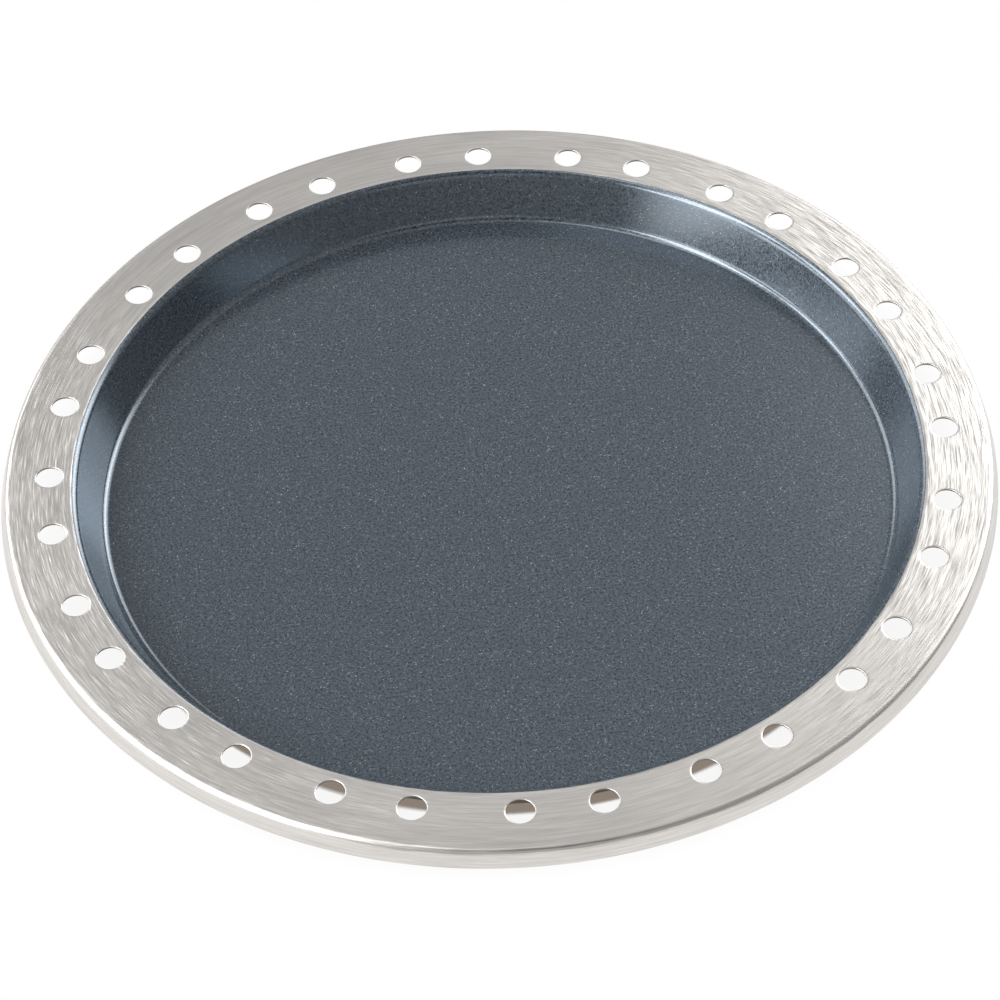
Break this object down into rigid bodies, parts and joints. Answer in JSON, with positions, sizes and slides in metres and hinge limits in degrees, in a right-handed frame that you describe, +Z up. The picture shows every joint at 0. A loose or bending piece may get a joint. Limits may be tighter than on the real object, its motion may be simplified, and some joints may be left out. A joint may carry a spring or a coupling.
{
  "type": "pizza pan",
  "caption": "Round shallow pizza pan of pressed stainless steel with a dark non-stick well, a wide flat flange with paired punched holes, and a short flared lip.",
  "frame": {"origin": "centre of the flat underside of the base, where the pan stands", "axes": "+Z up out of the well along the pan's axis; +X runs midway between the two holes of one pair in the flange"},
  "size_m": [0.3556, 0.3556, 0.0188],
  "materials": {
    "steel": "stainless steel sheet with a fine satin polish, flange, lip and underside left bare",
    "coating": "dark slate baked non-stick coating with a fine sparkle, semi-matt"
  },
  "bodies": {
    "root": {"pan_body": "steel", "nonstick_lining": "coating"}
  },
  "joints": []
}
